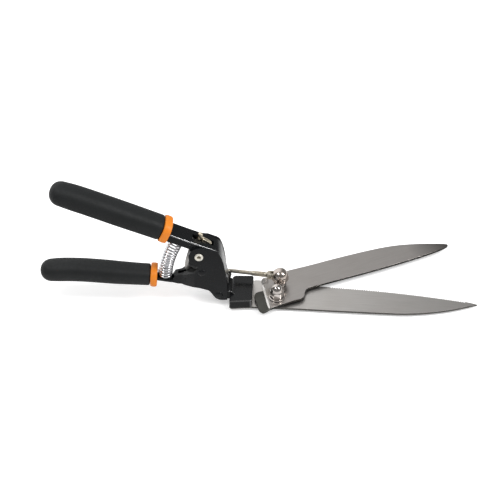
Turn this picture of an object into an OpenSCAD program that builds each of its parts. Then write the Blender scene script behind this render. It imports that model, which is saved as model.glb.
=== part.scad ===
// One-hand grass shears: squeeze handles that work a pair of long flat blades through a link rod.
// X runs forward to the blade tips, Y across from the near to the far side, Z up. Shown fully open.

/* [Blades] */
// thickness of both blades
blade_t = 2; // [1.5:0.1:2.5]
// thickness of the fixed blade and its tang
fixed_t = 1.8; // [1.5:0.1:2.5]
// gap between the blades at the pivot
pivot_gap = 1.5; // [1.2:0.1:2]
// lean of the moving blade that brings the tips together, in degrees
blade_lean = 0.52; // [0.3:0.02:0.6]
// length of one serration on the fixed blade
tooth_pitch = 2; // [1.5:0.5:4]
// depth of the serrations
tooth_depth = 0.5; // [0.2:0.1:0.8]

/* [Handles] */
// thickness of the handle sheet
sheet_t = 2; // [1.6:0.1:2.4]
// width across the channel handle
channel_w = 17; // [16.6:0.1:17]
// width of the lower handle bar
bar_w = 8; // [7:0.5:9]
// width of the upper grip
grip_w = 21; // [19:0.5:23]
// width of the lower grip
low_grip_w = 19; // [18:0.5:21]

/* [Fittings] */
// radius of the main tubular rivet
rivet_r = 3; // [2.8:0.1:3.2]
// radius of the blade pivot bolt
bolt_r = 3; // [2.5:0.1:3.5]
// radial running clearance
run_fit = 0.05; // [0.02:0.01:0.08]
// radius of the link rod
rod_r = 1.5; // [1.3:0.1:1.6]
// radius of the hole the rod hooks into
hook_hole_r = 2.1; // [2:0.05:2.2]
// coil radius of the handle spring, to the middle of the wire
coil_r = 4.85; // [4.5:0.05:5]
// wire radius of the handle spring
wire_r = 0.62; // [0.5:0.02:0.7]
// number of turns of the handle spring
coil_turns = 16; // [12:1:18]

/* [Output] */
// which piece to draw

/* [Hidden] */
$fn = 48;
mid_y = 8.2; // middle plane of the handles
bolt_head_h = 2;
stand_z = fixed_t + bolt_head_h; // lift that puts the bolt head on the ground
moving_top = pivot_gap + blade_t;

// near faces of the fork; far_side() gives the far ones
plate_t = 1.7;
plate_in = -0.5;
plate_out = plate_in - plate_t;
lug_in = -0.45;
lug_out = -2.35;
bar_out = mid_y - bar_w / 2;
bar_in = bar_out + plate_t;

// places in the side view, [x, z]
pivot = [-61.2, 46.6];
bar_rivet = [-59.1, 30.6];
tongue_rivet = [-46.1, 7.5];
catch = [-72.6, 20.9];
latch = [-66.5, 55.5];
hook_hole = [-39.8, 14.6];
hook = hook_hole + [0.265, -0.223];
frame_rivet_r = 2.2;
catch_r = 0.8;
latch_pin_r = 1.3;

// places in plan, [x, y]
tang_rivet_places = [[-28.5, 0.6], [-27.3, 14.6]];
tang_rivet_r = 2.5;
stud = [2.9, 16.2];
stud_r = 3;

// fork pin of the swivel cap, [x, z], and the link rod
fork = [stud[0] - 8.5, 13];
fork_w = 5;
fork_pin_r = 1;
sleeve_r = 2.3;
rod_y = 20.5; // at the hook corner
rod_start = 6; // from the fork pin

steel = [0.62, 0.60, 0.58];
dark_steel = [0.48, 0.46, 0.45];
black = [0.06, 0.065, 0.07];
grip_black = [0.09, 0.095, 0.1];
orange = [0.95, 0.57, 0.12];
chrome = [0.82, 0.82, 0.84];
zinc = [0.74, 0.71, 0.64];
gold = [0.78, 0.66, 0.38];

// ---- Shared helpers ----

// y of the matching face on the other side of the middle plane
function far_side(y) = 2 * mid_y - y;

// heights are worked out from the top face of the fixed blade, then set on the bolt head
module stand() { translate([0, 0, stand_z]) children(); }

// side-view shape [x, z] made solid from y0 to y1
module across(y0, y1) {
  translate([0, y1, 0]) rotate([90, 0, 0]) linear_extrude(y1 - y0) children();
}
// side-view shape made solid evenly about the middle plane
module centred(width) { across(mid_y - width / 2, mid_y + width / 2) children(); }

module pin_y(place, r, y0, y1) {
  translate([place[0], y1, place[1]]) rotate([90, 0, 0]) cylinder(r = r, h = y1 - y0);
}
// tapered heads standing out from near face y and its far match
module head_pair(place, y, r1, r2, h) {
  translate([place[0], y, place[1]]) rotate([90, 0, 0]) cylinder(r1 = r1, r2 = r2, h = h);
  translate([place[0], far_side(y), place[1]]) rotate([-90, 0, 0])
    cylinder(r1 = r1, r2 = r2, h = h);
}
// upright pin through the fixed blade, with a tapered head below it
module blade_pin(r, above, head_r1, head_r2, head_h) {
  translate([0, 0, -fixed_t]) cylinder(r = r, h = fixed_t + above);
  translate([0, 0, -fixed_t - head_h]) cylinder(r1 = head_r1, r2 = head_r2, h = head_h);
}
module ring(r, hole_r, h, cut_h = 5) {
  difference() {
    cylinder(r = r, h = h);
    translate([0, 0, -1]) cylinder(r = hole_r, h = cut_h);
  }
}
// hexagon with a domed cap
module cap_body(flats, hex_h, dome_r, dome_h) {
  corner_r = flats / 2 / cos(30);
  intersection() {
    union() {
      linear_extrude(hex_h) circle(r = corner_r, $fn = 6);
      translate([0, 0, hex_h]) scale([1, 1, dome_h / dome_r]) intersection() {
        sphere(r = dome_r);
        translate([0, 0, dome_r]) cube(2 * dome_r, center = true);
      }
    }
    cylinder(r = corner_r - 0.35, h = hex_h + dome_h);
  }
}
// rounded grip section facing along X, tilted in the side view
module oval_slab(x, z, tilt, width, height, thick = 2) {
  translate([x, mid_y, z]) rotate([0, -tilt, 0]) rotate([0, 90, 0]) linear_extrude(thick)
    scale([height / width, 1]) offset(width * 0.18) square(width * 0.64, center = true);
}

// ---- Fork plates and lower handle ----

// side-view edges shared by the plates and the bar between them, [x, z]
arm_top = [[-97, 24.3], [-95.3, 24.2], [-95, 19.15], [-83.6, 17], [-81, 22.2], [-79, 22.8],
  [-74, 24], [-69, 27.6]];
arm_bottom = [[-54, 12.2], [-60, 14.4], [-65, 15.6], [-73.2, 14.0], [-78.8, 14.2],
  [-83.5, 15.6], [-93, 17.3], [-97, 18]];
// rest of a fork plate, up over the pivot and down to the tongue, [x, z]
plate_front = [[-65, 30.4], [-62.6, 34.3], [-62, 39.3], [-64.2, 41.2], [-64.2, 52.8],
  [-61.2, 54.5], [-54.5, 54], [-47.5, 51], [-45.2, 49.2], [-43.6, 45.5], [-42, 39.5],
  [-40.9, 32], [-39.6, 17], [-39.4, 2.7], [-43.8, 2.3], [-46.5, 2.9], [-48.8, 4.4],
  [-50.6, 7], [-52, 9.6]];
// rest of the bar, [x, z]
bar_front = [[-65, 29.4], [-62, 31], [-57.5, 33.8], [-55.2, 32.5], [-53.5, 28], [-51.5, 19],
  [-50.2, 11]];

// side view of a fork plate with its rearward arm
module plate_side() {
  difference() {
    polygon(concat(arm_top, plate_front, arm_bottom));
    translate(pivot) circle(r = rivet_r);
    translate(bar_rivet) circle(r = frame_rivet_r);
    translate(tongue_rivet) circle(r = frame_rivet_r);
    translate(catch) circle(r = catch_r);
  }
}
// plan view of the near plate: flat along the fork, stepping in to lie against the bar
module plate_plan() {
  polygon([[-97, bar_out], [-76, bar_out], [-65.5, plate_out], [-30, plate_out],
    [-30, plate_in], [-64.9, plate_in], [-75.2, bar_in], [-97, bar_in]]);
}
// round boss that carries the main rivet
module lug(y0, y1) {
  difference() {
    pin_y(pivot, 8.2, y0, y1);
    pin_y(pivot, rivet_r, y0 - 1, y1 + 1);
  }
}
module side_plate_near() {
  stand() color(black) {
    intersection() {
      across(-10, 12) plate_side();
      linear_extrude(80) plate_plan();
    }
    lug(lug_out, lug_in);
  }
}
// mirror of the near plate, notched at the lower front edge
module side_plate_far() {
  stand() color(black) {
    intersection() {
      across(4, 26) difference() {
        plate_side();
        polygon([[-42.4, 11.4], [-30, 11.4], [-30, 22], [-40.5, 22], [-42.4, 18]]);
      }
      linear_extrude(80) translate([0, 2 * mid_y]) mirror([0, 1]) plate_plan();
    }
    lug(far_side(lug_in), far_side(lug_out));
  }
}
// the bar between the plates, its spring saddle and its tang
module lower_handle() {
  core_w = bar_w - 2 * plate_t - 0.2;
  stand() color(black) difference() {
    union() {
      intersection() {
        across(plate_in, far_side(plate_in)) polygon(concat(arm_top, bar_front, arm_bottom));
        linear_extrude(80) polygon([[-97, bar_in], [-75.2, bar_in], [-64.9, plate_in],
          [-40, plate_in], [-40, far_side(plate_in)], [-64.9, far_side(plate_in)],
          [-75.2, far_side(bar_in)], [-97, far_side(bar_in)]]);
      }
      // saddle, and the web that joins it to the bar
      centred(12) polygon([[-94.6, 19.14], [-83.6, 17.08], [-83.6, 18.98], [-94.6, 21.04]]);
      centred(core_w) polygon([[-94.6, 18.2], [-83.6, 16.4], [-83.6, 18.5], [-94.6, 20.5]]);
      // tang, and the piece that joins it to the bar
      centred(7.6) polygon([[-160, 22.6], [-125, 19], [-97, 18], [-97, 24.3], [-125, 25],
        [-160, 28.6]]);
      centred(core_w) polygon([[-99, 18.3], [-96, 18.2], [-96, 24], [-99, 24.1]]);
    }
    // slot around the latch tail
    centred(3.4) polygon([[-78, 16.4], [-57.5, 16.4], [-57.5, 27], [-62, 40], [-80, 40]]);
    pin_y(bar_rivet, frame_rivet_r, -3, 20);
    pin_y(catch, catch_r, -3, 20);
  }
}
module lower_grip_middle() { oval_slab(-150, 25.2, -2, low_grip_w, 16.8); }
module lower_grip() {
  stand() color(grip_black) difference() {
    union() {
      hull() {
        translate([-180.6, mid_y, 24.4]) scale([0.8, 1, 0.86]) sphere(r = 8, $fn = 32);
        oval_slab(-178, 24.5, -1, 18.4, 16.4);
        lower_grip_middle();
      }
      hull() {
        lower_grip_middle();
        oval_slab(-102.6, 20.5, -5, low_grip_w - 1.5, 15.2);
      }
    }
    centred(7.8) polygon([[-160.2, 22.5], [-125, 18.9], [-96, 17.8], [-96, 24.5],
      [-125, 25.1], [-160.2, 28.7]]);
  }
}
module lower_collar() {
  stand() color(orange) difference() {
    hull() {
      oval_slab(-100.4, 20.5, -4, low_grip_w - 1, 16.2, 1);
      oval_slab(-96, 20.6, -4, low_grip_w - 1.6, 15.6, 1);
    }
    centred(8.02) polygon([[-104, 17.7], [-96.98, 17.75], [-93, 17.1], [-93, 24.5],
      [-104, 24.6]]);
  }
}
module main_pivot_rivet() {
  stand() color(zinc) difference() {
    union() {
      pin_y(pivot, rivet_r, lug_out - 1, far_side(lug_out - 1));
      head_pair(pivot, lug_out, r1 = 3.6, r2 = 3.2, h = 1.1);
    }
    pin_y(pivot, 1.5, -10, 30);
  }
}
module frame_rivets() {
  stand() color(black) for (place = [bar_rivet, tongue_rivet]) {
    pin_y(place, frame_rivet_r, plate_out, far_side(plate_out));
    head_pair(place, plate_out, r1 = 3.2, r2 = 2.4, h = 0.9);
  }
}
module catch_pin() {
  stand() color(dark_steel) pin_y(catch, catch_r, 2.1, far_side(2.1));
}

// ---- Fixed blade and its bracket ----

// cast block that clamps the tang and carries the tongue between the plates
module blade_bracket() {
  stand() color(black) difference() {
    union() {
      linear_extrude(7) polygon([[-38, -9.3], [-20.9, -8.3], [-20, -7.4], [-18.4, 21.8],
        [-19.6, 22.9], [-33.4, 23], [-35.2, 21.2]]);
      across(lug_in, far_side(lug_in)) polygon([[-48.9, 4.9], [-46.6, 3.1], [-43, 2.5],
        [-38, 2.5], [-36.5, 0.1], [-30, 0.1], [-30, 7], [-33.5, 7], [-35.6, 9.6],
        [-38, 10.2], [-47, 10.2], [-49.2, 9.2]]);
    }
    pin_y(tongue_rivet, frame_rivet_r, -3, 20);
    for (place = tang_rivet_places)
      translate([place[0], place[1], -1]) cylinder(r = tang_rivet_r, h = 6.5);
  }
}
module tang_rivets() {
  stand() color(dark_steel) for (place = tang_rivet_places) translate(place)
    blade_pin(tang_rivet_r, above = 5.5, head_r1 = 2.8, head_r2 = 4, head_h = 1.2);
}

// plain back edge from the tang round the tip, [x, y]
blade_back = [[-37, -8.3], [-21.4, -7.2], [-11.8, -8.1], [-1.5, -8.5], [18.4, -9.9],
  [42.2, -11.9], [65.9, -13.7], [84, -15.1], [97.5, -15.8], [105.5, -15.7], [114, -15.2],
  [121.5, -14.3], [130, -12.9], [137.7, -11.3], [145.8, -9.2], [154.2, -6.5], [159.5, -5.2],
  [160, -4.9], [159.6, -4.6], [154.3, -3.1]];
// heel behind the cutting edge, [x, y]
blade_heel = [[22, 19.8], [4, 22.8], [-17, 25.6], [-20, 22], [-34.4, 22]];
// the cutting edge curves forward from here; its teeth lie between two stations
edge_start = [36.9, 17.2];
teeth_x0 = 44;
teeth_x1 = 150;
teeth = floor((teeth_x1 - teeth_x0) / tooth_pitch);
function edge_y(x) =
  let (run = x - edge_start[0]) edge_start[1] - 0.085 * run - 0.0007 * run * run;
// one zigzag, from the front tooth back
serrations = [for (i = [2 * teeth:-1:0]) let (x = teeth_x0 + i * tooth_pitch / 2)
  [x, edge_y(x) - (i % 2 == 0 ? tooth_depth : 0)]];

module fixed_blade() {
  stand() color(steel) difference() {
    translate([0, 0, -fixed_t]) linear_extrude(fixed_t)
      polygon(concat(blade_back, serrations, [edge_start], blade_heel));
    translate([0, 0, -5]) cylinder(r = bolt_r, h = 10);
    for (place = tang_rivet_places)
      translate([place[0], place[1], -5]) cylinder(r = tang_rivet_r, h = 10);
  }
}

// ---- Blade pivot ----

washer_gap = 0.14; // under the top washer
nut_gap = 1.2; // from the moving blade to the nut
module pivot_bolt() {
  stand() color(chrome)
    blade_pin(bolt_r, above = 12, head_r1 = 4.6, head_r2 = 6, head_h = bolt_head_h);
}
module bearing_washer() {
  stand() color(steel) ring(r = 7, hole_r = bolt_r, h = pivot_gap - 0.12);
}
module top_washer() {
  stand() color(chrome) translate([0, 0, moving_top + washer_gap])
    ring(r = 6.4, hole_r = bolt_r, h = nut_gap - washer_gap);
}
module pivot_cap_nut() {
  stand() color(chrome) translate([0, 0, moving_top + nut_gap]) difference() {
    cap_body(flats = 10, hex_h = 6.2, dome_r = 4.75, dome_h = 5.2);
    translate([0, 0, -1]) cylinder(r = bolt_r, h = 8.6);
  }
}

// ---- Handle spring ----

// centre line, bowed forward between its two seats: foot, control point and head, [x, z]
spring_foot = [-88.66, 20.66];
spring_bow = [-85.2, 38.9];
spring_head = [-75.3, 60.3];
turn_steps = 18;
wire_sides = 6;
function spring_mid(t) =
  (1 - t) * (1 - t) * spring_foot + 2 * t * (1 - t) * spring_bow + t * t * spring_head;
function spring_dir(t) =
  let (d = 2 * (1 - t) * (spring_bow - spring_foot) + 2 * t * (spring_head - spring_bow))
  d / norm(d);
// middle of the wire
function wire_mid(t) =
  let (mid = spring_mid(t), dir = spring_dir(t), turn = 360 * coil_turns * t)
  [mid[0] + coil_r * cos(turn) * dir[1], mid_y + coil_r * sin(turn),
    mid[1] - coil_r * cos(turn) * dir[0]];
// ring of points round the wire, square to its run
function wire_ring(t) =
  let (
    here = wire_mid(t),
    ahead = wire_mid(t + 0.0005) - here,
    along = ahead / norm(ahead),
    mid = spring_mid(t),
    outward = here - [mid[0], mid_y, mid[1]],
    square_out = outward - along * (outward * along),
    radial = square_out / norm(square_out),
    side = cross(along, radial)
  )
  [for (j = [0:wire_sides - 1]) let (angle = 360 * j / wire_sides)
    here + wire_r * (cos(angle) * radial + sin(angle) * side)];

module handle_spring() {
  steps = coil_turns * turn_steps;
  last = wire_sides - 1;
  points = [for (i = [0:steps]) each wire_ring(i / steps)];
  end_faces = [[for (j = [0:last]) j], [for (j = [last:-1:0]) steps * wire_sides + j]];
  side_faces = [for (i = [0:steps - 1]) for (j = [0:last])
    let (base = i * wire_sides, above = base + wire_sides, next = (j + 1) % wire_sides)
    each [[base + j, above + j, above + next], [base + j, above + next, base + next]]];
  stand() color(chrome)
    polyhedron(points = points, faces = concat(end_faces, side_faces), convexity = 10);
}
module spring_peg(x, z, tilt, lift = 0) {
  translate([x, mid_y, z]) rotate([0, tilt, 0]) translate([0, 0, lift])
    cylinder(r1 = 3.9, r2 = 3.2, h = 6);
}
module lower_spring_peg() {
  stand() color(dark_steel) spring_peg(x = -88.8, z = 19.96, tilt = 10.8, lift = 0.05);
}
module upper_spring_peg() {
  stand() color(dark_steel) spring_peg(x = -75.06, z = 60.86, tilt = 180 + 24.7);
}

// ---- Upper handle and latch ----

// side view of the bent channel handle, [x, z]
channel_outline = [[-92, 71.05], [-81, 66.0], [-67.5, 59.8], [-56.7, 55.1], [-49.6, 51.9],
  [-46.8, 50.3], [-44.8, 48], [-43.5, 45], [-42.3, 39.5], [-40.9, 31], [-39.9, 24.1],
  [-38.8, 18.2], [-36.9, 16.8], [-36.15, 14.6], [-36.9, 12.4], [-39.6, 11], [-43.5, 11.1],
  [-46.4, 12.4], [-47.6, 17], [-49.6, 27], [-53, 34.6], [-57.5, 38.4], [-61.6, 36.4],
  [-65.4, 33.6], [-68.9, 36.5], [-69.7, 38.2], [-68.6, 46], [-68.3, 52.8], [-75.7, 56.1],
  [-81.8, 58.9], [-92, 63.4]];
// hollow between its side walls, [x, z]
channel_hollow = [[-93, 69.2], [-81.8, 64.15], [-68.3, 57.95], [-57.5, 53.25], [-50.5, 50.1],
  [-48.3, 48.8], [-46.6, 46.9], [-45.5, 44.4], [-44.3, 39], [-42.9, 31], [-41.9, 24],
  [-40.5, 16.7], [-30, 12], [-30, 5], [-70, 5], [-95, 50]];
channel_inner_w = channel_w - 2 * sheet_t;

module upper_handle() {
  stand() color(black) difference() {
    union() {
      difference() {
        centred(channel_w) polygon(channel_outline);
        centred(channel_inner_w) polygon(channel_hollow);
      }
      // tang inside the grip
      centred(10) polygon([[-150, 90.6], [-90, 63.4], [-86.5, 63.4], [-86.5, 67.2],
        [-90, 69.2], [-152, 97.2]]);
    }
    pin_y(pivot, rivet_r + run_fit, -5, 25);
    pin_y(hook_hole, hook_hole_r, 10, 20);
    // leaves only the far wall at the hook hole
    across(-5, mid_y + channel_inner_w / 2)
      polygon([[-45, 5], [-30, 5], [-30, 16.5], [-40.5, 18.2], [-45, 18.2]]);
    pin_y(latch, latch_pin_r, -5, 25);
    // slot for the latch lever
    centred(5.8) polygon([[-66.2, 50], [-49.8, 44], [-49.8, 60], [-66.2, 64]]);
  }
}
module upper_grip() {
  stand() color(grip_black) difference() {
    hull() {
      translate([-165, mid_y, 100.7]) rotate([0, 25, 0]) scale([0.85, 1, 0.88])
        sphere(r = 9.2, $fn = 32);
      oval_slab(-162, 99.6, -24, 20, 17.4);
      oval_slab(-128, 84.5, -24.3, grip_w, 18);
      oval_slab(-91.6, 68.3, -24.3, grip_w - 1.4, 17);
    }
    centred(10.2) polygon([[-150.3, 90.5], [-90, 63.2], [-86, 63.2], [-86, 69.4],
      [-90, 69.4], [-152.3, 97.4]]);
    centred(channel_w + 0.2) polygon([[-92.2, 71.2], [-80, 66], [-80, 56], [-92.2, 63.1]]);
  }
}
module upper_collar() {
  stand() color(orange) difference() {
    hull() {
      oval_slab(-89.5, 67.4, -24.3, grip_w - 0.2, 18.4, 1);
      oval_slab(-84.6, 65.1, -24.3, grip_w - 0.8, 17.8, 1);
    }
    centred(channel_w + 0.04) polygon(channel_outline);
    centred(10.2) polygon([[-95, 63], [-85, 60], [-85, 67], [-95, 70]]);
  }
}
module pivot_bushing() {
  stand() color(zinc) difference() {
    pin_y(pivot, 4.2, mid_y - channel_inner_w / 2, mid_y + channel_inner_w / 2);
    pin_y(pivot, rivet_r + run_fit, -5, 25);
  }
}
module latch_pin() {
  stand() color(zinc) pin_y(latch, latch_pin_r, mid_y - channel_w / 2, mid_y + channel_w / 2);
}

// nose and head above the handle, hooked tail below, [x, z]
lever_outline = [[-68.4, 56], [-67.4, 56.9], [-65.4, 57.2], [-63.8, 58.4], [-62.2, 59.8],
  [-59, 60.4], [-56.4, 58.2], [-52.4, 54.4], [-51.6, 52.6], [-52.4, 51.8], [-56, 53.2],
  [-60, 54.8], [-63.4, 54.2], [-65, 52.2], [-66.2, 46.4], [-67.4, 37], [-68.2, 27],
  [-69, 22.4], [-69.4, 21.65], [-70.67, 21.6], [-72.2, 21.85], [-73.75, 22.6], [-73.7, 23],
  [-72.45, 22.7], [-71.9, 24.6], [-71.8, 31], [-70.8, 38], [-69.2, 46.4], [-68.4, 52]];
module latch_lever() {
  stand() color(gold) difference() {
    union() {
      centred(2) polygon(lever_outline);
      centred(4.6) translate([-60.4, 60.6]) circle(r = 2.1);
    }
    pin_y(latch, latch_pin_r + run_fit, 0, 20);
  }
}

// ---- Moving blade ----

// outlines about the blade's own long axis, [x, y]
moving_outline = [[-2.1, 19.5], [-0.6, 22.6], [1.6, 23.7], [7.1, 23.9], [13, 24.7], [19, 26],
  [23.1, 26.4], [29.2, 26.1], [42.6, 25.3], [60.8, 24.6], [78.9, 23.5], [97.1, 22.2],
  [114.9, 20], [123.2, 17.9], [135.4, 13.9], [147, 8.9], [154.6, 5.3], [158.6, 3],
  [159.6, 2.2], [159.9, 1.2], [159.3, 0.4], [156, -0.6], [150.7, -1.4], [140.8, -2],
  [130.8, -2.4], [111.6, -2.7], [93, -2.3], [74.6, -1.8], [56.7, -1], [38.7, -0.3],
  [29.8, 0.1], [27.4, -0.3], [25.6, -1.4], [24, -3], [22.6, -4.7], [20.6, -7.6],
  [18.8, -9.1], [16.5, -9.5], [7.5, -9.2], [-1.5, -9.3], [-5.9, -9.6], [-10.1, -10.4]];
tab_outline = [[-2, 18.8], [-9.6, -10.2], [-11.4, -10.3], [-14.4, -11.1], [-17, -11.2],
  [-18.3, -9.5], [-18.8, -5.9], [-17.2, 1.6], [-16, 7.8], [-14, 11.2], [-11.4, 12.8],
  [-6, 11.8], [-3.9, 16.6]];
open_angle = 25;
fold_start = [-10.1, -10.4]; // near end of the fold between blade and tab
fold_yaw = -15;
fold_angle = -5; // the tab slopes down away from the blade

module moving_blade() {
  stand() color(dark_steel) rotate([0, 0, open_angle]) difference() {
    union() {
      translate([0, 0, pivot_gap]) rotate([0, blade_lean, 0]) linear_extrude(blade_t)
        polygon(moving_outline);
      intersection() {
        linear_extrude(12) polygon(tab_outline);
        translate([fold_start[0], fold_start[1], pivot_gap + 0.02])
          rotate([0, 0, fold_yaw]) rotate([0, fold_angle, 0])
          translate([-14, -3, 0]) cube([14.7, 38, blade_t]);
      }
    }
    translate([0, 0, -1]) cylinder(r = bolt_r + run_fit, h = 12);
    rotate([0, 0, -open_angle]) translate([stud[0], stud[1], -1]) cylinder(r = stud_r, h = 12);
  }
}

// ---- Drive stud and link rod ----

module at_stud(z) { translate([stud[0], stud[1], z]) children(); }
// side-view shape made solid evenly about the stud's own plane
module across_stud(width) { across(stud[1] - width / 2, stud[1] + width / 2) children(); }

module drive_stud() {
  stand() color(chrome) at_stud(pivot_gap + 0.15) difference() {
    cylinder(r = stud_r, h = 9.3);
    translate([0, 0, 8.9]) cylinder(r = 1, h = 1);
  }
}
module stud_spacer() {
  stand() color(chrome) at_stud(moving_top + 0.16)
    ring(r = 5, hole_r = stud_r, h = 4.6, cut_h = 8);
}
// domed cap that turns on the stud, with a fork for the rod
module swivel_cap() {
  fork_r = 2.6;
  root_x = stud[0] - 3;
  slot_x = stud[0] - 4.6;
  stand() color(chrome) difference() {
    union() {
      at_stud(8.4) cap_body(flats = 12.2, hex_h = 4.8, dome_r = 6.2, dome_h = 5.4);
      across_stud(fork_w) {
        translate(fork) circle(r = fork_r);
        polygon([fork - [0, fork_r], [root_x, fork[1] - fork_r], [root_x, fork[1] + fork_r],
          fork + [0, fork_r]]);
      }
    }
    at_stud(5) cylinder(r = stud_r + run_fit, h = 6.1);
    across_stud(2.8) polygon([[-12, 5], [slot_x, 5], [slot_x, 21], [-12, 21]]);
    pin_y(fork, fork_pin_r, 10, 22);
  }
}
module swivel_pin() {
  stand() color(chrome) pin_y(fork, fork_pin_r, stud[1] - fork_w / 2, stud[1] + fork_w / 2);
}

// straight part of the rod, from the fork to the hook corner
rod_yaw = atan2(rod_y - stud[1], fork[0] - hook[0]);
rod_len = norm([hook[0] - fork[0], rod_y - stud[1], hook[1] - fork[1]]);
rod_pitch = asin((hook[1] - fork[1]) / rod_len);
// sets local Z along the rod, with its origin at the fork pin
module along_rod() {
  translate([fork[0], stud[1], fork[1]]) rotate([0, 0, -rod_yaw]) rotate([0, rod_pitch, 0])
    rotate([0, -90, 0]) children();
}
module rod_sleeve() {
  stand() color(zinc) difference() {
    union() {
      along_rod() translate([0, 0, 3.4]) cylinder(r = sleeve_r, h = 9);
      pin_y(fork, sleeve_r, stud[1] - 1.3, stud[1] + 1.3);
      along_rod() translate([-1.9, -1, 0]) cube([3.8, 2, 5]);
    }
    pin_y(fork, fork_pin_r + run_fit, 10, 22);
    along_rod() translate([0, 0, rod_start]) cylinder(r = rod_r, h = 20);
  }
}
// straight rod, thick corner and hooked end
module link_rod() {
  stand() color(zinc) {
    along_rod() translate([0, 0, rod_start]) cylinder(r = rod_r, h = rod_len - rod_start);
    pin_y(hook, rod_r + 0.35, rod_y - 1.8, rod_y + 1.8);
    pin_y(hook, rod_r, 12.2, rod_y);
  }
}
module rod_clip() {
  stand() color(dark_steel) difference() {
    pin_y(hook, 3, 12.9, 13.9);
    pin_y(hook, rod_r, 10, 20);
  }
}

side_plate_near();
side_plate_far();
lower_handle();
lower_grip();
lower_collar();
main_pivot_rivet();
frame_rivets();
catch_pin();
blade_bracket();
tang_rivets();
fixed_blade();
pivot_bolt();
bearing_washer();
top_washer();
pivot_cap_nut();
handle_spring();
lower_spring_peg();
upper_handle();
upper_grip();
upper_collar();
pivot_bushing();
upper_spring_peg();
latch_pin();
latch_lever();
moving_blade();
drive_stud();
stud_spacer();
swivel_cap();
swivel_pin();
rod_sleeve();
link_rod();
rod_clip();
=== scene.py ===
"""Hand shears with a serrated fixed blade, a swinging blade, two grips, a spring and a latch.

The blades lie flat and point along +X, and the grips reach back along -X. The blade pivot is
the Z axis through the origin. Z is up. "Near" is the -Y side, where the camera stands, and
"far" the +Y side. Shapes are drawn in millimetres, with height 0 on the fixed blade's top
face, and are raised by LIFT when built.
"""
import bpy
import bmesh
from math import atan2, copysign, cos, pi, radians, sin, sqrt
from mathutils import Matrix, Vector


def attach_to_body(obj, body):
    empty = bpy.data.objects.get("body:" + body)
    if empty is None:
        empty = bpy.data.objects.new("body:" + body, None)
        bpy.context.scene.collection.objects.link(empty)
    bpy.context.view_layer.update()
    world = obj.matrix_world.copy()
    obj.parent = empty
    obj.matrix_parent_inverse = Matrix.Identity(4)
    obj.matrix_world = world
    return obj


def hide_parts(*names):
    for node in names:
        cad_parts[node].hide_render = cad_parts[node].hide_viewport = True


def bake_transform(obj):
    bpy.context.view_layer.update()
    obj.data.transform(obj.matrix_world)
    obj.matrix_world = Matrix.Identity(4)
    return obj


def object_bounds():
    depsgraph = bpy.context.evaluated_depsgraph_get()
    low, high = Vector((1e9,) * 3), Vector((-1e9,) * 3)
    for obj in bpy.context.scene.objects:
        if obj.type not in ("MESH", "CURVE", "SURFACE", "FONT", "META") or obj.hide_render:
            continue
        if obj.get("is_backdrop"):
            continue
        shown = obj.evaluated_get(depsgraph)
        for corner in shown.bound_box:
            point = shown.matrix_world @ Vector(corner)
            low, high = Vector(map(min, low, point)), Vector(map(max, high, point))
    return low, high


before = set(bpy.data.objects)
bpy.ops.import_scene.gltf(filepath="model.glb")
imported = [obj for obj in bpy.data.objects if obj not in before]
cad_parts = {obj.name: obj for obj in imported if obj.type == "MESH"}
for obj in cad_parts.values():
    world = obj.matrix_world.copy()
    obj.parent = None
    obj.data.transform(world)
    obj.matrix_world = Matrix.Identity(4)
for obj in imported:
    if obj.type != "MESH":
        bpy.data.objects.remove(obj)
cad_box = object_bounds()
scene = bpy.context.scene

MM = 0.001
MID_Y = 8.2  # middle plane of the handles and side plates
LIFT = 3.8  # height of the bolt head, on which the tool rests


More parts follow.
